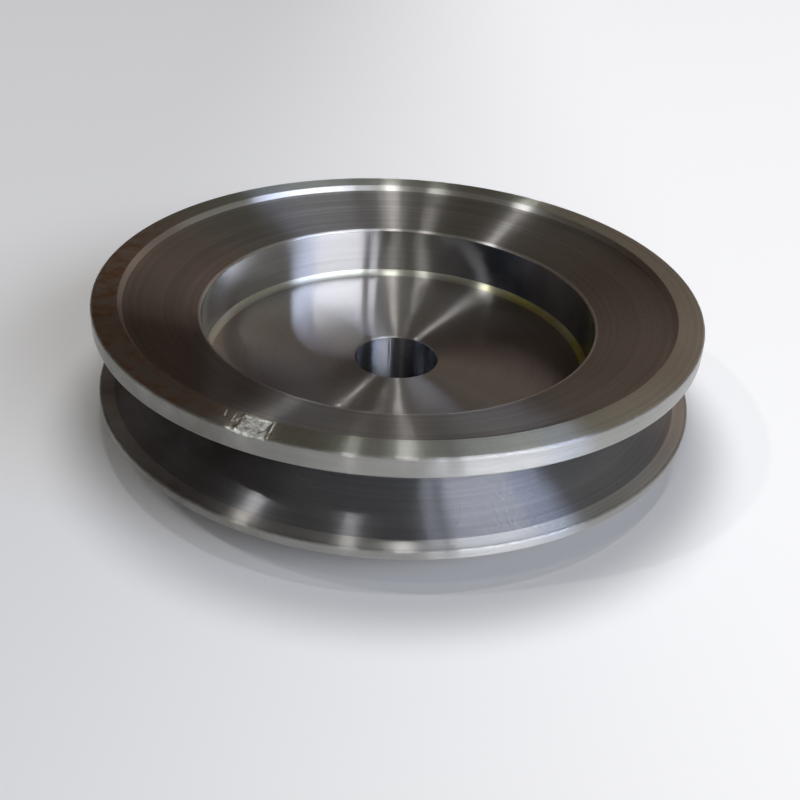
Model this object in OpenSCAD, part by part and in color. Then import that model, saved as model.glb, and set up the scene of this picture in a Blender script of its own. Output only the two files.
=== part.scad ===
// V-belt pulley for a compressor, turned in one piece from a steel blank.
// Z runs up along the shaft bore, and z = 0 is the end face of the rear hub.

/* [Flanges] */
// Outside diameter of both flanges
outer_d = 140; // [134:1:180]
// Thickness of the upper flange at its edge
upper_edge_t = 4.6; // [3:0.1:6]
// Thickness of the lower flange at its edge
lower_edge_t = 2.4; // [1.6:0.1:5]
// Radius that breaks the outer edges of the flanges
edge_r = 0.6; // [0.2:0.05:0.75]

/* [Belt groove] */
// Width of the groove mouth between the flanges
mouth_w = 17; // [14.5:0.1:22]
// Width of the flat land between a flange edge and the groove wall
land_w = 3.5; // [1.5:0.1:5]
// Included angle of the two groove walls
groove_angle = 34; // [30:1:38]
// Depth of the groove below the lands
groove_depth = 14.5; // [10:0.5:15.5]
// Radius in the bottom corners of the groove
groove_root_r = 1.2; // [0.5:0.1:2]

/* [Face] */
// Width of the flat ring round the face
ring_w = 5.9; // [3:0.1:9]
// Drop of the steep step inside the ring
step_h = 1.3; // [0.6:0.1:2.5]
// Radial run of the step
step_run = 0.9; // [0.3:0.1:2]
// Drop of the dished face from the step to the recess
dish_h = 4.6; // [2:0.1:6]

/* [Recess] */
// Diameter of the recess
recess_d = 92.2; // [70:0.2:96]
// Thickness of the web under the recess floor
web_t = 5.1; // [3:0.1:8]
// Radius at the foot of the recess wall
recess_foot_r = 2; // [0.5:0.1:3]
// Radius that breaks the edge of the recess
recess_edge_r = 0.5; // [0.1:0.05:0.6]

/* [Hub and bore] */
// Diameter of the shaft bore
bore_d = 20; // [14:0.5:26]
// Chamfer at both ends of the bore
bore_chamfer = 0.4; // [0.2:0.1:1]
// Diameter of the rear hub
hub_d = 40; // [32:1:60]
// Length that the hub stands out behind the lower flange
hub_l = 10; // [4:0.5:30]
// Chamfer round the end face of the hub
hub_chamfer = 0.8; // [0.3:0.1:1.5]
// Radius at the root of the hub
hub_root_r = 1.5; // [0.5:0.1:3]

/* [Edge dent] */
// Angle of the dent round the rim, from +X towards +Y
dent_angle = 248; // [0:1:359]
// Length of the dent along the rim
dent_w = 6.4; // [3:0.1:10]
// Reach of the dent in from the rim
dent_reach = 4.7; // [2:0.1:5.5]
// Drop of the dent at the rim
dent_drop = 0.25; // [0.1:0.05:1]

/* [Hidden] */
$fn = 180;

outer_r = outer_d / 2;
recess_r = recess_d / 2;
bore_r = bore_d / 2;
hub_r = hub_d / 2;
land_r = outer_r - land_w;
groove_r = land_r - groove_depth;
ring_r = outer_r - ring_w;
step_r = ring_r - step_run;

// Heights, from the end face of the hub upwards
floor_z = hub_l + web_t;
lower_land_z = hub_l + lower_edge_t;
upper_land_z = lower_land_z + mouth_w;
top_z = upper_land_z + upper_edge_t;
wall_rise = groove_depth * tan(groove_angle / 2);
dish_z = top_z - step_h;

// Corners of the turned section, anticlockwise from the hub's end face:
// radius, height and the size of the round on that corner
corners = [
    [bore_r + bore_chamfer, 0, 0],
    [hub_r - hub_chamfer, 0, 0],
    [hub_r, hub_chamfer, 0],
    [hub_r, hub_l, hub_root_r],
    [outer_r, hub_l, edge_r],
    [outer_r, lower_land_z, edge_r],
    [land_r, lower_land_z, 0],
    [groove_r, lower_land_z + wall_rise, groove_root_r],
    [groove_r, upper_land_z - wall_rise, groove_root_r],
    [land_r, upper_land_z, 0],
    [outer_r, upper_land_z, edge_r],
    [outer_r, top_z, edge_r],
    [ring_r, top_z, 0],
    [step_r, dish_z, 0],
    [recess_r, dish_z - dish_h, recess_edge_r],
    [recess_r, floor_z, recess_foot_r],
    [bore_r + bore_chamfer, floor_z, 0],
    [bore_r, floor_z - bore_chamfer, 0],
    [bore_r, bore_chamfer, 0],
];

function place(i) = let (c = corners[(i + len(corners)) % len(corners)]) [c[0], c[1]];
function unit(v) = v / norm(v);
// Positive where the section turns left, so that the corner stands out
function turn(i) = cross(place(i) - place(i - 1), place(i + 1) - place(i));

// Sliver between a corner of the section and the arc that rounds it
module corner_sliver(i) {
    round_r = corners[i][2];
    back = unit(place(i - 1) - place(i));
    ahead = unit(place(i + 1) - place(i));
    half_angle = acos(back * ahead) / 2;
    centre = place(i) + unit(back + ahead) * round_r / sin(half_angle);
    tangent_l = round_r / tan(half_angle);
    difference() {
        polygon([place(i), place(i) + back * tangent_l, centre, place(i) + ahead * tangent_l]);
        translate(centre)
            circle(round_r);
    }
}

// Half section of the pulley: inner corners are filled, outer ones are taken off
module section() {
    rounded = [for (i = [0 : len(corners) - 1]) if (corners[i][2] > 0) i];
    difference() {
        union() {
            polygon([for (i = [0 : len(corners) - 1]) place(i)]);
            for (i = rounded)
                if (turn(i) < 0)
                    corner_sliver(i);
        }
        for (i = rounded)
            if (turn(i) > 0)
                corner_sliver(i);
    }
}

// Slab that leaves a flat sloping outwards over the edge of the upper flange
module dent_cut() {
    slope = atan(dent_drop / dent_reach);
    rotate([0, 0, dent_angle])
        translate([outer_r - dent_reach, -dent_w / 2, top_z])
            rotate([0, slope, 0])
                cube([2 * dent_reach, dent_w, upper_edge_t]);
}

module pulley() {
    color([0.62, 0.61, 0.58])
        difference() {
            rotate_extrude()
                section();
            dent_cut();
        }
}

pulley();
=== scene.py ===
"""Looks of a compressor's V-belt pulley: one steel blank, turned all over on a lathe."""
import math
from collections import namedtuple

import bmesh
import bpy
from mathutils import Matrix, Vector, noise


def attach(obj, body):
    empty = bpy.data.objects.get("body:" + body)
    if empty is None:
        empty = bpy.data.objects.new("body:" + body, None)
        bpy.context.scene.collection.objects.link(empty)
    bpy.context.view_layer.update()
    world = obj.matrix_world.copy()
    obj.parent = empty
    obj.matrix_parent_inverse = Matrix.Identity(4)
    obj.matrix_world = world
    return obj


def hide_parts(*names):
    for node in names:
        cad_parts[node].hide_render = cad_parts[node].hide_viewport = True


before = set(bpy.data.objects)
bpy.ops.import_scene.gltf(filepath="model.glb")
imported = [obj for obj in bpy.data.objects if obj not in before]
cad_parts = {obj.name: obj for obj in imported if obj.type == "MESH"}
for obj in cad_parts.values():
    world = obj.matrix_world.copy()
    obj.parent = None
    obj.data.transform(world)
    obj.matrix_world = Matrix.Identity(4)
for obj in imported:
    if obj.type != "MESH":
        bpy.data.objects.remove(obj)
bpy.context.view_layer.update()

MM = 0.001

# Sizes of the pulley, in millimetres
OUTER_R = 70.0
UPPER_EDGE_T = 4.6
LOWER_EDGE_T = 2.4
EDGE_ROUND = 0.6
MOUTH_W = 17.0
LAND_W = 3.5
GROOVE_HALF_ANGLE = math.radians(17.0)
GROOVE_DEPTH = 14.5
GROOVE_ROOT_ROUND = 1.2
RING_W = 5.9
RING_EDGE_ROUND = 0.15
STEP_H = 1.3
STEP_RUN = 0.9
DISH_H = 4.6
RECESS_R = 46.1
RECESS_FOOT_ROUND = 2.0
RECESS_EDGE_ROUND = 0.5
WEB_T = 5.1
BORE_R = 10.0
BORE_CHAMFER = 0.4
HUB_R = 20.0
HUB_L = 10.0
HUB_CHAMFER = 0.8
HUB_ROOT_ROUND = 1.5

# Width of the band on the face, where it meets the edge of the recess, that takes the pale edge finish:
# a painted highlight
HIGHLIGHT_BAND_W = 0.3
# Reach of the bright line at the foot of the recess wall, as a share of the round there
FOOT_LINE = 0.72

# Radii and heights that follow from the sizes
LAND_R = OUTER_R - LAND_W
GROOVE_R = LAND_R - GROOVE_DEPTH
RING_R = OUTER_R - RING_W
STEP_R = RING_R - STEP_RUN
FLOOR_Z = HUB_L + WEB_T
LOWER_LAND_Z = HUB_L + LOWER_EDGE_T
UPPER_LAND_Z = LOWER_LAND_Z + MOUTH_W
TOP_Z = UPPER_LAND_Z + UPPER_EDGE_T
DISH_Z = TOP_Z - STEP_H
RECESS_Z = DISH_Z - DISH_H
WALL_RISE = GROOVE_DEPTH * math.tan(GROOVE_HALF_ANGLE)

# Turned mesh: steps round the axis, segments in a rounded corner, cuts across the ring and the rim
SPIN_STEPS = 360
ROUND_SEGMENTS = 6
RING_CUTS = 26
RIM_CUTS = 10

# An edge of the section longer than this lies on one of its flat stretches, in millimetres
LONG_EDGE = 2.0
# Room left when edges and faces are told apart by their place, from coarse to fine, in millimetres
ROOM = 0.1
NEAR = 0.01
HAIR = 0.002

# The knock on the top edge: angles round the axis in degrees, lengths in millimetres
KNOCK_SECTOR = (239.5, 254.5)
# Columns that a step of the mesh is cut into there, and the least angle that such a step spans
KNOCK_COLUMNS = 6
LEAST_STEP = 0.1
KNOCK_CORNERS = ((245.1, 64.7), (249.9, 64.9), (250.7, 70.6), (245.8, 70.6))
KNOCK_DROP = 0.24
KNOCK_RIDGE = 0.14
KNOCK_RIDGE_W = 0.3
KNOCK_SOFT = 0.22
KNOCK_REACH_DOWN = 2.6
# Share of the drop that is there already at the inner end of the knock
KNOCK_INNER_DROP = 0.6
# Unevenness of its bottom: height, and waves in a millimetre along the rim and out from the axis
KNOCK_GRAIN = 0.1
KNOCK_WAVES = (1.1, 2.6)
# The rim's edge is rubbed between these angles, at most this wide, and the pale knocked finish there is
# also a painted highlight
RUBBED_HIGHLIGHT_EDGE = (243.0, 251.0)
RUBBED_HIGHLIGHT_W = 0.75
# Cracks: start, end, depth and half width
CRACKS = (
    ((249.8, 65.2), (249.7, 67.2), 0.40, 0.24),
    ((249.6, 67.2), (248.8, 68.8), 0.26, 0.16),
    ((250.5, 67.6), (251.2, 68.6), 0.24, 0.22),
    ((245.3, 65.5), (244.7, 68.4), 0.16, 0.20),
)
# Bright scrapes: start, end and half width
SCRAPES = (
    ((245.1, 64.8), (244.0, 67.7), 0.12),
    ((241.2, 65.1), (242.0, 67.0), 0.11),
    ((243.2, 65.0), (243.8, 67.8), 0.11),
)

# Feed marks are too fine to be told apart in the render, so each is a cell with one slope: its
# width across the rings in millimetres, and the number of cells on an arc as long as the radius
FEED_MM = 0.03
FEED_ARCS = 2000.0
# Rings: a noise that goes round a small circle of this radius, in millimetres, so that a ring
# changes only two or three times on its way round the axis
RING_RUN_MM = 0.4
# Hatch: width of its short marks across the rings, and how much slower they change lengthways.
# The real ones are finer, and are drawn this coarse to show.
HATCH_MM = 0.5
HATCH_STRETCH = 0.08
# A tint, rust on the ring and painted shade on the other cuts, scatters this share of the light, and is
# whole over this share of its reach
RUST_AND_SHADE_SCATTER = 0.12
RUST_AND_SHADE_WHOLE = 0.3
# Noise at which the patches of a tint, rust on the ring and painted shade on the other cuts, start and
# are full, and the tint left between them
PATCH_RANGE = (0.3, 0.65)
PATCH_THIN = 0.35
# Crushed grain of the knock: size and height in millimetres, and noise from dull to bright.
# The real grain is finer, and is drawn this coarse to show.
CRUSHED_MM = 0.8
CRUSHED_BUMP_MM = 0.12
CRUSHED_RANGE = (0.3, 0.65)

# Lamps stand this far off, and the floor reaches this far each way, in metres
LAMP_DISTANCE = 4.0
FLOOR_REACH = 12.0
# Glow of the floor at its left and right, as a share of white
FLOOR_GLOW = (0.2, 0.5)
# In outside radii of the pulley: where the glow is full, and how far left and right lie
GLOW_FULL = 1.25
GLOW_SIDE = 1.5

# Camera, from the photograph: place and aim in millimetres, lens on a 36 mm sensor
CAMERA_PLACE = (0.0, -230.9, 146.6)
CAMERA_AIM = (1.6, 4.2, 0.0)
CAMERA_ROLL = math.radians(3.30)
CAMERA_LENS = 49.28
CAMERA_SENSOR = 36.0
CAMERA_NEAREST = 10.0


def linear(hex_colour):
    """An sRGB colour such as "8A8780" as linear red, green, blue and alpha."""
    parts = [int(hex_colour[i : i + 2], 16) / 255 for i in (0, 2, 4)]
    return [c / 12.92 if c <= 0.04045 else ((c + 0.055) / 1.055) ** 2.4 for c in parts] + [1.0]


def add(tree, kind, inputs=None, **settings):
    """Adds a node, sets its properties, and sets or links its inputs."""
    node = tree.nodes.new("ShaderNode" + kind)
    for name, value in settings.items():
        setattr(node, name, value)
    for name, value in (inputs or {}).items():
        if isinstance(value, bpy.types.NodeSocket):
            tree.links.new(value, node.inputs[name])
        else:
            node.inputs[name].default_value = value
    return node


# Materials

# Where a point lies on the lathe: its position, radius, height and the way out from the axis
LathePlace = namedtuple("LathePlace", "position radius height outward")


def bare_material(name):
    """A new material with nothing in its node tree yet."""
    material = bpy.data.materials.new(name)
    material.use_nodes = True
    material.node_tree.nodes.clear()
    return material, material.node_tree


def lathe_place(tree):
    """Works out where a point lies on the lathe, whose axis is Z."""
    position = add(tree, "TexCoord").outputs["Object"]
    parts = add(tree, "SeparateXYZ", {0: position}).outputs
    across = add(tree, "CombineXYZ", {"X": parts["X"], "Y": parts["Y"]}).outputs[0]
    radius = add(tree, "VectorMath", {0: across}, operation="LENGTH").outputs["Value"]
    outward = add(tree, "VectorMath", {0: across}, operation="NORMALIZE").outputs[0]
    return LathePlace(position, radius, parts["Z"], outward)


def centred(tree, value, gain, middle=0.0):
    """A noise value from 0 to 1, made to swing by gain about a middle."""
    return add(
        tree, "Math", {0: value, 1: gain, 2: middle - gain / 2}, operation="MULTIPLY_ADD",
    ).outputs[0]


def ring_marks(tree, place, size_mm, run_mm, stretch=1.0):
    """Noise in arcs round the axis, from 0 to 1.

    It changes over size_mm across the rings, or over a longer way where stretch is under 1. A
    larger run_mm makes its arcs shorter.
    """
    way = add(tree, "SeparateXYZ", {0: place.outward}).outputs
    across_rings = add(tree, "Math", {0: place.radius, 1: stretch}, operation="MULTIPLY")
    along_axis = add(tree, "Math", {0: place.height, 1: stretch}, operation="MULTIPLY")
    round_x = add(tree, "Math", {0: way["X"], 1: run_mm * MM}, operation="MULTIPLY")
    round_y = add(tree, "Math", {0: way["Y"], 1: run_mm * MM}, operation="MULTIPLY")
    spot = add(
        tree, "CombineXYZ",
        {"X": across_rings.outputs[0], "Y": along_axis.outputs[0], "Z": round_x.outputs[0]},
    ).outputs[0]
    return add(
        tree, "TexNoise",
        {"Vector": spot, "W": round_y.outputs[0], "Scale": 1 / (size_mm * MM), "Detail": 2.0},
        noise_dimensions="4D",
    ).outputs[0]


def feed_slope(tree, place, rings, flat, steep, skew, ring_steep):
    """Slope of the feed marks across the rings: on a face, above 0 where a mark leans in to the axis.

    Each cell draws a share t from -1 to 1, and its slope is t * (flat + t * t * (steep - skew * t)),
    so most are nearly flat and a few are steep. In some rings the tool cut deeper, by ring_steep.
    """
    way = add(tree, "SeparateXYZ", {0: place.outward}).outputs
    section = add(tree, "Math", {0: place.radius, 1: place.height}, operation="ADD").outputs[0]
    grid = add(tree, "CombineXYZ", {"X": section, "Y": way["X"], "Z": way["Y"]}).outputs[0]
    cells = (1 / (FEED_MM * MM), FEED_ARCS, FEED_ARCS)
    grid = add(tree, "VectorMath", {0: grid, 1: cells}, operation="MULTIPLY").outputs[0]
    cell = add(tree, "VectorMath", {0: grid}, operation="FLOOR").outputs[0]
    flank = centred(tree, add(tree, "TexWhiteNoise", {"Vector": cell}).outputs["Value"], 2.0)
    square = add(tree, "Math", {0: flank, 1: flank}, operation="MULTIPLY").outputs[0]
    sharp = add(tree, "Math", {0: flank, 1: -skew, 2: steep}, operation="MULTIPLY_ADD").outputs[0]
    if ring_steep:
        deeper = centred(tree, rings, 2 * ring_steep, 1.0)
        sharp = add(tree, "Math", {0: sharp, 1: deeper}, operation="MULTIPLY").outputs[0]
    bend = add(tree, "Math", {0: square, 1: sharp, 2: flat}, operation="MULTIPLY_ADD").outputs[0]
    return add(tree, "Math", {0: flank, 1: bend}, operation="MULTIPLY").outputs[0]


def rust_and_shade_cover(tree, place, middle, reach, patch_mm):
    """How much of a tint lies on the steel, rust on the ring and painted shade on the other cuts: most
    at the angle middle, none past reach from it.
    """
    middle, reach = math.radians(middle), math.radians(reach)
    towards = (math.cos(middle), math.sin(middle), 0)
    facing = add(
        tree, "VectorMath", {0: place.outward, 1: towards}, operation="DOT_PRODUCT",
    ).outputs["Value"]
    side = add(
        tree, "MapRange",
        {"Value": facing, "From Min": math.cos(reach), "From Max": math.cos(reach * RUST_AND_SHADE_WHOLE)},
        interpolation_type="SMOOTHSTEP",
    ).outputs[0]
    patches = add(
        tree, "TexNoise", {"Vector": place.position, "Scale": 1 / (patch_mm * MM), "Detail": 4.0},
    ).outputs[0]
    patches = add(
        tree, "MapRange",
        {"Value": patches, "From Min": PATCH_RANGE[0], "From Max": PATCH_RANGE[1], "To Min": PATCH_THIN},
    ).outputs[0]
    return add(tree, "Math", {0: side, 1: patches}, operation="MULTIPLY").outputs[0]


def turned_steel(
    name, colour="B8B6B4", roughness=0.275, flat=0.05, steep=1.1, skew=0.0,
    ring_mm=0.5, ring_slope=0.02, ring_steep=0.0, ring_tone=0.05, hatch_tone=0.0, rust_and_shade_tint=None,
):
    """Bare mild steel as a lathe tool leaves it.

    The tool leaves feed marks far finer than the eye parts, with nearly flat lands and flanks as
    steep as the slope steep, steeper by skew on the side that leans out. They tilt the surface
    across the rings and not along them, so lamps draw narrow radial streaks on faces and upright
    bands on walls. Coarser rings, ring_mm wide, add faint lines round the axis by their slope, by
    deeper cuts and by their tone, and hatch_tone adds short marks across them. A tint on one side
    is the first bloom of rust on the ring, and painted shade on the other cuts, where they mirror a
    dark part of the room or lie in a corner or a hole: its colour, the angle of its middle, the
    angle to where it ends, and the size of its patches in millimetres.
    """
    material, tree = bare_material(name)
    place = lathe_place(tree)
    rings = ring_marks(tree, place, ring_mm, RING_RUN_MM)

    feed = feed_slope(tree, place, rings, flat, steep, skew, ring_steep)
    tilt = add(tree, "Math", {0: feed, 1: centred(tree, rings, ring_slope)}, operation="ADD").outputs[0]
    round_axis = add(
        tree, "VectorMath", {0: (0, 0, 1), 1: place.outward}, operation="CROSS_PRODUCT",
    ).outputs[0]
    normal = add(tree, "NewGeometry").outputs["Normal"]
    over = add(tree, "VectorMath", {0: normal, 1: round_axis}, operation="CROSS_PRODUCT").outputs[0]
    lean = add(tree, "VectorMath", {0: over, "Scale": tilt}, operation="SCALE").outputs[0]
    leant = add(tree, "VectorMath", {0: normal, 1: lean}, operation="ADD").outputs[0]
    leant = add(tree, "VectorMath", {0: leant}, operation="NORMALIZE").outputs[0]

    tone = centred(tree, rings, 2 * ring_tone, 1.0)
    if hatch_tone:
        hatch = ring_marks(tree, place, HATCH_MM, OUTER_R, HATCH_STRETCH)
        hatch = centred(tree, hatch, 2 * hatch_tone, 1.0)
        tone = add(tree, "Math", {0: tone, 1: hatch}, operation="MULTIPLY").outputs[0]
    base = add(tree, "VectorMath", {0: linear(colour)[:3], "Scale": tone}, operation="SCALE").outputs[0]
    metal = 1.0
    if rust_and_shade_tint:
        rust_and_shade_colour, middle, reach, patch_mm = rust_and_shade_tint
        cover = rust_and_shade_cover(tree, place, middle, reach, patch_mm)
        base = add(
            tree, "Mix", {"Factor": cover, "A": base, "B": linear(rust_and_shade_colour)[:3]}, data_type="VECTOR",
        ).outputs["Result"]
        metal = add(
            tree, "Math", {0: cover, 1: -RUST_AND_SHADE_SCATTER, 2: 1.0}, operation="MULTIPLY_ADD",
        ).outputs[0]
    # A quarter turn from the tangent sets the long side of each highlight across the rings
    shader = add(
        tree, "BsdfPrincipled",
        {
            "Base Color": base, "Metallic": metal, "Roughness": roughness, "Anisotropic": 1.0,
            "Anisotropic Rotation": 0.25, "Normal": leant, "Tangent": round_axis,
        },
    )
    add(tree, "OutputMaterial", {"Surface": shader.outputs[0]})
    return material


def knocked_steel():
    """Mild steel bruised by a blow.

    It has no turning marks. Its crushed grain, dulled by oxide, scatters light evenly, so it looks
    pale from all sides, and painted shade darkens its cracks.
    """
    material, tree = bare_material("knocked_steel")
    position = add(tree, "TexCoord").outputs["Object"]
    grain = add(
        tree, "TexNoise", {"Vector": position, "Scale": 1 / (CRUSHED_MM * MM), "Detail": 3.0},
    ).outputs[0]
    crushed = add(
        tree, "MapRange", {"Value": grain, "From Min": CRUSHED_RANGE[0], "From Max": CRUSHED_RANGE[1]},
    ).outputs[0]
    colour = add(
        tree, "Mix", {"Factor": crushed, "A": linear("9A9B90"), "B": linear("FAFAF0")}, data_type="RGBA",
    ).outputs["Result"]
    # Painted shade: a near-black colour fills the cracks, most where each crack opens widest
    painted_crack_shade = add(tree, "Attribute", attribute_name="painted_crack_shade").outputs["Fac"]
    colour = add(
        tree, "Mix", {"Factor": painted_crack_shade, "A": colour, "B": linear("14120F")}, data_type="RGBA",
    ).outputs["Result"]
    bump = add(tree, "Bump", {"Height": grain, "Distance": CRUSHED_BUMP_MM * MM}).outputs[0]
    shader = add(
        tree, "BsdfPrincipled",
        {"Base Color": colour, "Metallic": 0.65, "Roughness": 0.55, "Normal": bump},
    )
    add(tree, "OutputMaterial", {"Surface": shader.outputs[0]})
    return material


def pulley_finishes():
    """A material for each cut of the tool and for the knock, by the names that finish_at gives."""
    return {
        # Dished face: a coarse feed, so its streaks break into ring lines
        "faced": turned_steel(
            "faced_steel", colour="A8A6A3", flat=0.1, steep=0.75, skew=0.25,
            ring_mm=0.9, ring_slope=0.1, ring_steep=0.8, ring_tone=0.35,
        ),
        # Recess floor: a fine even feed, so its streaks are smooth
        "floor": turned_steel("floor_steel", steep=1.05, skew=-0.25, ring_slope=0.05, ring_tone=0.12),
        # Flat ring: handled and hatched, with the first brown rust on its left
        "ring": turned_steel(
            "ring_steel", colour="C8CDC4", steep=1.25, skew=-0.2, ring_mm=0.8, ring_slope=0.08,
            ring_tone=0.25, hatch_tone=0.1, rust_and_shade_tint=("94704F", 200, 62, 3.0),
        ),
        # Lands beside the groove: paler, with broad soft streaks, and a dull brown tint on the left that
        # is painted shade for the dark room they mirror there
        "land": turned_steel(
            "land_steel", colour="DCDCD8", flat=0.4, ring_slope=0.05, ring_tone=0.15,
            rust_and_shade_tint=("625850", 218, 52, 20.0),
        ),
        # Edges of the flanges: a satin cut that shows even bands, duller on its left by painted shade
        # for the dark room they mirror there
        "rim": turned_steel(
            "rim_steel", colour="B8B8B5", flat=0.45, steep=0.5, ring_mm=0.4, ring_slope=0.1,
            ring_tone=0.2, rust_and_shade_tint=("7E7B72", 205, 65, 9.0),
        ),
        # Groove walls: clear ring lines, with painted shade in the groove: a darker, bluer grey all
        # round and a brown tint on the left for the dark room it mirrors there
        "groove": turned_steel(
            "groove_steel", colour="A4A5A8", flat=0.3, steep=1.0, ring_slope=0.05, ring_tone=0.3,
            rust_and_shade_tint=("5E5450", 202, 50, 20.0),
        ),
        # Recess wall: bored smooth, so it mirrors the room, with a dark bluish tint on its right that is
        # painted shade
        "wall": turned_steel(
            "wall_steel", colour="CECDCB", roughness=0.13, flat=0.02, steep=0.02, ring_tone=0.15,
            rust_and_shade_tint=("464C56", 28, 64, 30.0),
        ),
        # Bore: reamed smooth, with a dark tint on its right that is painted shade in the hole
        "bore": turned_steel(
            "bore_steel", colour="BABDC2", roughness=0.2, flat=0.08, steep=0.6,
            rust_and_shade_tint=("30343C", 30, 62, 9.0),
        ),
        # Back and hub: a plain facing cut
        "back": turned_steel("back_steel", ring_slope=0.1, ring_tone=0.2),
        # Foot of the recess wall: a bright round, with a yellow-green tint on its right that is painted
        # shade in the corner
        "foot": turned_steel(
            "foot_steel", colour="DCDED2", flat=0.25, steep=0.4, rust_and_shade_tint=("B4AE4C", 15, 58, 9.0),
        ),
        # Step and recess edge: a pale steel whose broad slopes catch light from all sides, a painted
        # highlight
        "edge": turned_steel("painted_highlight_edge_steel", colour="E6E6E2", flat=0.4, steep=1.0),
        "knocked": knocked_steel(),
    }


def pale_floor():
    """Matt pale paper.

    Seen straight or in the metal it also glows faintly, less on the left than on the right. The
    glow fades out under the pulley, so its shadow stays, and painted shade darkens the paper
    below the bore.
    """
    material, tree = bare_material("pale_paper")
    spot = add(tree, "TexCoord").outputs["Object"]
    apart = add(tree, "VectorMath", {0: spot}, operation="LENGTH").outputs["Value"]
    outside_painted_shade = add(
        tree, "MapRange", {"Value": apart, "From Min": BORE_R * MM, "From Max": HUB_R * MM},
    ).outputs[0]
    # Painted shade: the paper turns dark grey below the bore, so the hole looks shaded from above
    colour = add(
        tree, "Mix", {"Factor": outside_painted_shade, "A": linear("3A3A3A"), "B": linear("D9D9D7")}, data_type="RGBA",
    ).outputs["Result"]
    paper = add(tree, "BsdfDiffuse", {"Color": colour})

    rays = add(tree, "LightPath").outputs
    seen = add(
        tree, "Math", {0: rays["Is Camera Ray"], 1: rays["Is Glossy Ray"]}, operation="ADD",
    ).outputs[0]
    seen = add(tree, "Math", {0: seen, 1: rays["Is Transmission Ray"]}, operation="ADD").outputs[0]
    clear = add(
        tree, "MapRange",
        {"Value": apart, "From Min": OUTER_R * MM, "From Max": GLOW_FULL * OUTER_R * MM},
        interpolation_type="SMOOTHSTEP",
    ).outputs[0]
    side = GLOW_SIDE * OUTER_R * MM
    sideways = add(tree, "SeparateXYZ", {0: spot}).outputs["X"]
    brighter = add(
        tree, "MapRange",
        {
            "Value": sideways, "From Min": -side, "From Max": side,
            "To Min": FLOOR_GLOW[0], "To Max": FLOOR_GLOW[1],
        },
        interpolation_type="SMOOTHSTEP",
    ).outputs[0]
    strength = add(tree, "Math", {0: clear, 1: brighter}, operation="MULTIPLY").outputs[0]
    strength = add(tree, "Math", {0: seen, 1: strength}, operation="MULTIPLY").outputs[0]
    glow = add(tree, "Emission", {"Color": linear("FFFFFF"), "Strength": strength})
    both = add(tree, "AddShader", {0: paper.outputs[0], 1: glow.outputs[0]})
    add(tree, "OutputMaterial", {"Surface": both.outputs[0]})
    return material


# The pulley


def turned_section(bm):
    """Draws the half section as a closed wire in the XZ plane, with its corners rounded."""
    # Radius, height and the size of the round on that corner
    corners = [
        (BORE_R + BORE_CHAMFER, 0, 0),
        (HUB_R - HUB_CHAMFER, 0, 0),
        (HUB_R, HUB_CHAMFER, 0),
        (HUB_R, HUB_L, HUB_ROOT_ROUND),
        (OUTER_R, HUB_L, EDGE_ROUND),
        (OUTER_R, LOWER_LAND_Z, EDGE_ROUND),
        (LAND_R, LOWER_LAND_Z, 0),
        (GROOVE_R, LOWER_LAND_Z + WALL_RISE, GROOVE_ROOT_ROUND),
        (GROOVE_R, UPPER_LAND_Z - WALL_RISE, GROOVE_ROOT_ROUND),
        (LAND_R, UPPER_LAND_Z, 0),
        (OUTER_R, UPPER_LAND_Z, EDGE_ROUND),
        (OUTER_R, TOP_Z, EDGE_ROUND),
        (RING_R, TOP_Z, RING_EDGE_ROUND),
        (STEP_R, DISH_Z, RING_EDGE_ROUND),
        (RECESS_R, RECESS_Z, RECESS_EDGE_ROUND),
        (RECESS_R, FLOOR_Z, RECESS_FOOT_ROUND),
        (BORE_R + BORE_CHAMFER, FLOOR_Z, 0),
        (BORE_R, FLOOR_Z - BORE_CHAMFER, 0),
        (BORE_R, BORE_CHAMFER, 0),
    ]
    points = [bm.verts.new((radius * MM, 0, height * MM)) for radius, height, _ in corners]
    for a, b in zip(points, points[1:] + points[:1]):
        bm.edges.new((a, b))
    for i, (point, corner) in enumerate(zip(points, corners)):
        if not corner[2]:
            continue
        here = Vector(corner[:2])
        back = (Vector(corners[i - 1][:2]) - here).normalized()
        ahead = (Vector(corners[(i + 1) % len(corners)][:2]) - here).normalized()
        tangent = corner[2] / math.tan(back.angle(ahead) / 2)
        bmesh.ops.bevel(
            bm, geom=[point], offset=tangent * MM, offset_type="OFFSET", segments=ROUND_SEGMENTS,
            profile=0.5, affect="VERTICES", material=-1, clamp_overlap=False,
        )


def cut_finer(bm):
    """Cuts the ring and the rim of the section finer for the knock, and parts off the band of painted
    highlight by the recess.
    """
    for edge in bm.edges[:]:
        length = edge.calc_length()
        if length < LONG_EDGE * MM:
            continue
        middle = (edge.verts[0].co + edge.verts[1].co) / 2 / MM
        if middle.z > TOP_Z - NEAR:
            bmesh.ops.subdivide_edges(bm, edges=[edge], cuts=RING_CUTS)
        elif middle.x > OUTER_R - NEAR and middle.z > UPPER_LAND_Z:
            bmesh.ops.subdivide_edges(bm, edges=[edge], cuts=RIM_CUTS)
        elif RECESS_R < middle.x < STEP_R and RECESS_Z < middle.z < DISH_Z:
            inner = min(edge.verts, key=lambda vert: vert.co.x)
            bmesh.utils.edge_split(edge, inner, HIGHLIGHT_BAND_W * MM / length)


def polar(co):
    """A point's angle round the axis in degrees, radius and height in millimetres."""
    return math.degrees(math.atan2(co.y, co.x)) % 360, math.hypot(co.x, co.y) / MM, co.z / MM


def laid_flat(angle, radius):
    """A place near the top edge as millimetres along the rim and out from the axis."""
    return Vector((math.radians(angle - KNOCK_CORNERS[0][0]) * OUTER_R, radius))


def line_distance(point, start, end):
    """How far a point lies from a straight stretch."""
    run = end - start
    share = max(0.0, min(1.0, (point - start).dot(run) / run.length_squared))
    return (point - start - run * share).length


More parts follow.
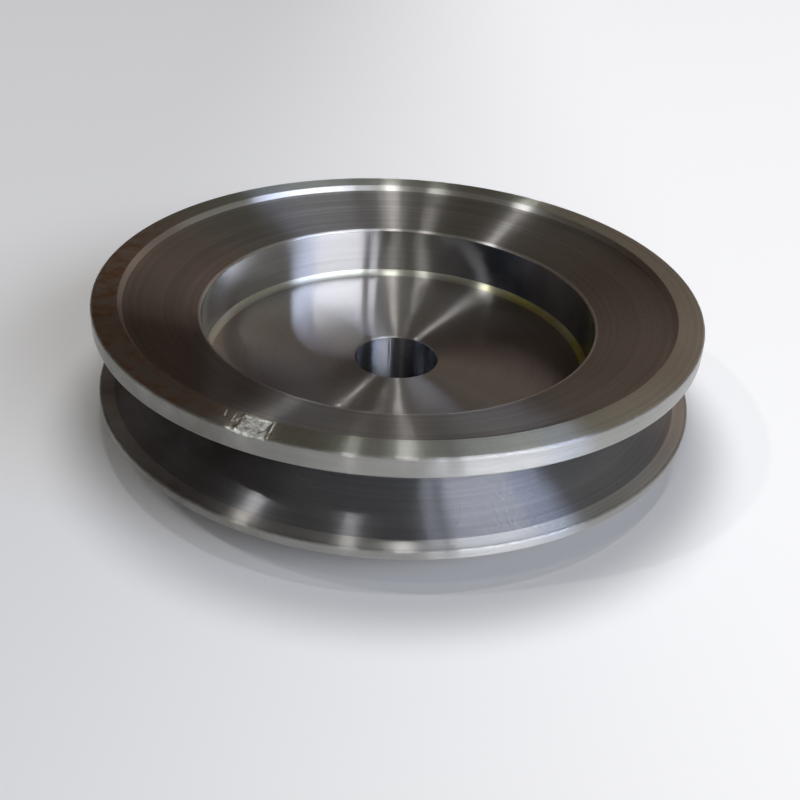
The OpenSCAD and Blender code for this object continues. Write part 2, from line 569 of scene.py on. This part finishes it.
def inside_knock(point):
    """How far a point lies inside the bruised patch, in millimetres: less than zero outside."""
    corners = [laid_flat(*corner) for corner in KNOCK_CORNERS]
    depth = math.inf
    for a, b in zip(corners, corners[1:] + corners[:1]):
        inward = Vector((a.y - b.y, b.x - a.x)).normalized()
        depth = min(depth, (point - a).dot(inward))
    return depth


def knock_height(angle, radius):
    """Height of the bruised edge over the turned ring, in millimetres, and how much painted shade
    darkens it in the cracks.
    """
    point = laid_flat(angle, radius)
    depth = inside_knock(point)
    pressed = min(1.0, max(0.0, 0.5 + depth / (2 * KNOCK_SOFT)))
    inner_r = KNOCK_CORNERS[0][1]
    slope = max(0.0, (radius - inner_r) / (OUTER_R - inner_r))
    drop = KNOCK_DROP * (KNOCK_INNER_DROP + (1 - KNOCK_INNER_DROP) * slope)
    waves = Vector((point.x * KNOCK_WAVES[0], point.y * KNOCK_WAVES[1], 0.0))
    height = -pressed * (drop - noise.noise(waves) * KNOCK_GRAIN)
    height += KNOCK_RIDGE * math.exp(-(((depth + KNOCK_RIDGE_W) / KNOCK_RIDGE_W) ** 2))
    painted_crack_shade = 0.0
    for start, end, deep, wide in CRACKS:
        gap = line_distance(point, laid_flat(*start), laid_flat(*end))
        open_share = math.exp(-((gap / wide) ** 2))
        height -= deep * open_share
        # The painted shade in a crack is darkest along its middle
        painted_crack_shade = max(painted_crack_shade, open_share)
    return height, painted_crack_shade


def knock(bm):
    """Cuts the turned ring finer at the bruise and presses its rough hollow in."""
    first, last = KNOCK_SECTOR
    around = []
    for edge in bm.edges:
        angles = [polar(vert.co)[0] for vert in edge.verts]
        runs_round = abs(angles[0] - angles[1]) > LEAST_STEP
        if runs_round and all(first < angle < last for angle in angles):
            around.append(edge)
    bmesh.ops.subdivide_edges(bm, edges=around, cuts=KNOCK_COLUMNS - 1, use_grid_fill=True)
    # Painted shade for the cracks, which the knocked material reads
    painted_crack_shade_layer = bm.verts.layers.float.new("painted_crack_shade")
    for vert in bm.verts:
        angle, radius, height = polar(vert.co)
        above = height - TOP_Z + KNOCK_REACH_DOWN
        if not first < angle < last or radius < RING_R + ROOM or above < 0:
            continue
        share = min(1.0, above / (KNOCK_REACH_DOWN - EDGE_ROUND))
        rise, vert[painted_crack_shade_layer] = knock_height(angle, radius)
        vert.co.z += rise * share * MM


def is_bruised(angle, radius, height):
    """True in the pressed patch, along the scrapes and where the rim's edge is rubbed, which is also a
    painted highlight.
    """
    first, last = RUBBED_HIGHLIGHT_EDGE
    share = (angle - first) / (last - first)
    # Painted highlight: the rubbed band of the rim's edge takes the pale knocked finish
    if 0 < share < 1:
        rubbed_highlight = RUBBED_HIGHLIGHT_W * math.sin(math.pi * share)
        if radius > OUTER_R - rubbed_highlight and height > TOP_Z - rubbed_highlight:
            return True
    if radius < RING_R or height < TOP_Z - EDGE_ROUND:
        return False
    point = laid_flat(angle, radius)
    if inside_knock(point) > 0:
        return True
    return any(
        line_distance(point, laid_flat(*start), laid_flat(*end)) < wide for start, end, wide in SCRAPES
    )


def finish_at(face):
    """Which cut of the tool, or which mark, a face of the pulley belongs to."""
    angle, radius, height = polar(face.calc_center_median())
    if KNOCK_SECTOR[0] < angle < KNOCK_SECTOR[1] and is_bruised(angle, radius, height):
        return "knocked"
    if radius < BORE_R + ROOM:
        return "bore"
    if height < HUB_L + ROOM:
        return "back"
    if radius > LAND_R and height < TOP_Z - ROOM:
        return "rim" if radius > OUTER_R - EDGE_ROUND else "land"
    # The step and the recess edge take the pale edge finish, a painted highlight
    on_step = STEP_R < radius < RING_R + RING_EDGE_ROUND
    if on_step and DISH_Z < height < TOP_Z - HAIR:
        return "edge"
    by_recess = RECESS_R + NEAR < radius < RECESS_R + 2 * RECESS_EDGE_ROUND
    if by_recess and height > RECESS_Z - RECESS_EDGE_ROUND:
        return "edge"
    if radius > RING_R - ROOM:
        return "ring"
    if GROOVE_R - ROOM < radius < LAND_R and LOWER_LAND_Z - ROOM < height < UPPER_LAND_Z:
        return "groove"
    if radius > RECESS_R:
        return "faced"
    foot_reach = FOOT_LINE * RECESS_FOOT_ROUND
    if radius > RECESS_R - foot_reach and height < FLOOR_Z + foot_reach:
        return "foot"
    return "wall" if height > FLOOR_Z + RECESS_FOOT_ROUND / 4 else "floor"


def pulley_piece():
    """Spins the section round the bore's axis, knocks its edge, and gives each face its finish."""
    bm = bmesh.new()
    turned_section(bm)
    cut_finer(bm)
    bmesh.ops.spin(
        bm, geom=bm.verts[:] + bm.edges[:], cent=(0, 0, 0), axis=(0, 0, 1), angle=2 * math.pi,
        steps=SPIN_STEPS, use_merge=True,
    )
    bmesh.ops.remove_doubles(bm, verts=bm.verts, dist=1e-6)
    bmesh.ops.recalc_face_normals(bm, faces=bm.faces)
    knock(bm)
    bm.normal_update()
    finishes = pulley_finishes()
    names = list(finishes)
    for face in bm.faces:
        face.smooth = True
        face.material_index = names.index(finish_at(face))
    mesh = bpy.data.meshes.new("turned_pulley")
    bm.to_mesh(mesh)
    bm.free()
    for material in finishes.values():
        mesh.materials.append(material)
    piece = bpy.data.objects.new("turned_pulley", mesh)
    bpy.context.scene.collection.objects.link(piece)
    weighted = piece.modifiers.new("even_shading", "WEIGHTED_NORMAL")
    weighted.keep_sharp = True
    return piece


pulley = pulley_piece()
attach(pulley, "root")
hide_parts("pulley")


# Stage, light and camera


def stage_floor():
    """The sheet of pale paper that the pulley stands on."""
    bm = bmesh.new()
    bmesh.ops.create_grid(bm, x_segments=1, y_segments=1, size=FLOOR_REACH)
    mesh = bpy.data.meshes.new("floor")
    bm.to_mesh(mesh)
    bm.free()
    floor = bpy.data.objects.new("floor", mesh)
    bpy.context.scene.collection.objects.link(floor)
    mesh.materials.append(pale_floor())


def lamp_object(name, size, radiance, colour):
    """An area lamp of a width and height in metres that sends out a given radiance."""
    lamp = bpy.data.lights.new(name, "AREA")
    lamp.shape = "RECTANGLE"
    lamp.size, lamp.size_y = size
    lamp.energy = radiance * math.pi * lamp.size * lamp.size_y
    lamp.color = linear(colour)[:3]
    holder = bpy.data.objects.new(name, lamp)
    bpy.context.scene.collection.objects.link(holder)
    return holder


def upright_pane(name, sides, heights, radiance, colour):
    """A tall soft box that faces the pulley's axis, between two sides and two heights.

    They are angles in degrees: a side from the camera's side towards +X, a height up from the floor.
    """
    first, last = [math.radians(side) for side in sides]
    low, high = [LAMP_DISTANCE * math.tan(math.radians(height)) for height in heights]
    size = (2 * LAMP_DISTANCE * math.tan((last - first) / 2), high - low)
    middle = (first + last) / 2
    way = Vector((math.sin(middle), -math.cos(middle), 0))
    holder = lamp_object(name, size, radiance, colour)
    holder.location = way * LAMP_DISTANCE + Vector((0, 0, (low + high) / 2))
    holder.rotation_euler = way.to_track_quat("Z", "Y").to_euler()


def ceiling_spot(name, side, height, across, radiance):
    """A small square white lamp above the pulley; its side, height and width are angles in degrees."""
    side, height = math.radians(side), math.radians(height)
    level = math.cos(height)
    way = Vector((math.sin(side) * level, -math.cos(side) * level, math.sin(height)))
    width = 2 * LAMP_DISTANCE * math.tan(math.radians(across) / 2)
    holder = lamp_object(name, (width, width), radiance, "FFFFFF")
    holder.location = way * LAMP_DISTANCE
    holder.rotation_euler = way.to_track_quat("Z", "Y").to_euler()


def studio_light():
    """Lights the pulley from one window, four dim cards, three small lamps and a dark room."""
    # The window draws broad bands on the steel, and the slit beside it a narrow one
    upright_pane("window", (24.5, 57), (20, 41), 9.6, "EEF2FF")
    upright_pane("window_end", (57, 72.5), (20, 41), 8.2, "CEDAF8")
    upright_pane("window_slit", (15.7, 20.2), (20, 41), 7.6, "EEF2FF")
    # The cards fill the steel between the bands with a soft grey
    upright_pane("right_card", (72.5, 116), (14, 45), 0.34, "F0F1E6")
    upright_pane("back_card", (136, 173), (8, 46), 0.28, "FFE6D8")
    upright_pane("high_card", (145, 200), (46, 64), 0.26, "E8F0E2")
    upright_pane("front_card", (-45, 14), (14, 45), 0.2, "F2F4EA")
    # The small lamps draw the narrow radial streaks
    ceiling_spot("spot_front", 18, 79.5, 1.6, 330)
    ceiling_spot("spot_middle", -20, 60, 1.6, 210)
    ceiling_spot("spot_left", -72, 54, 1.6, 360)
    world = bpy.data.worlds.new("dim_room")
    world.use_nodes = True
    world.node_tree.nodes["Background"].inputs["Color"].default_value = linear("3A2F28")
    bpy.context.scene.world = world


def photo_camera():
    """A camera that sees the pulley from the photograph's angle."""
    camera = bpy.data.cameras.new("camera")
    camera.lens = CAMERA_LENS
    camera.sensor_width = CAMERA_SENSOR
    camera.clip_start = CAMERA_NEAREST * MM
    holder = bpy.data.objects.new("camera", camera)
    place, aim = Vector(CAMERA_PLACE) * MM, Vector(CAMERA_AIM) * MM
    turn = (aim - place).to_track_quat("-Z", "Y").to_matrix().to_4x4()
    roll = Matrix.Rotation(CAMERA_ROLL, 4, "Z")
    holder.matrix_world = Matrix.Translation(place) @ turn @ roll
    bpy.context.scene.collection.objects.link(holder)
    bpy.context.scene.camera = holder


stage_floor()
studio_light()
photo_camera()
bpy.context.scene.view_settings.view_transform = "Standard"
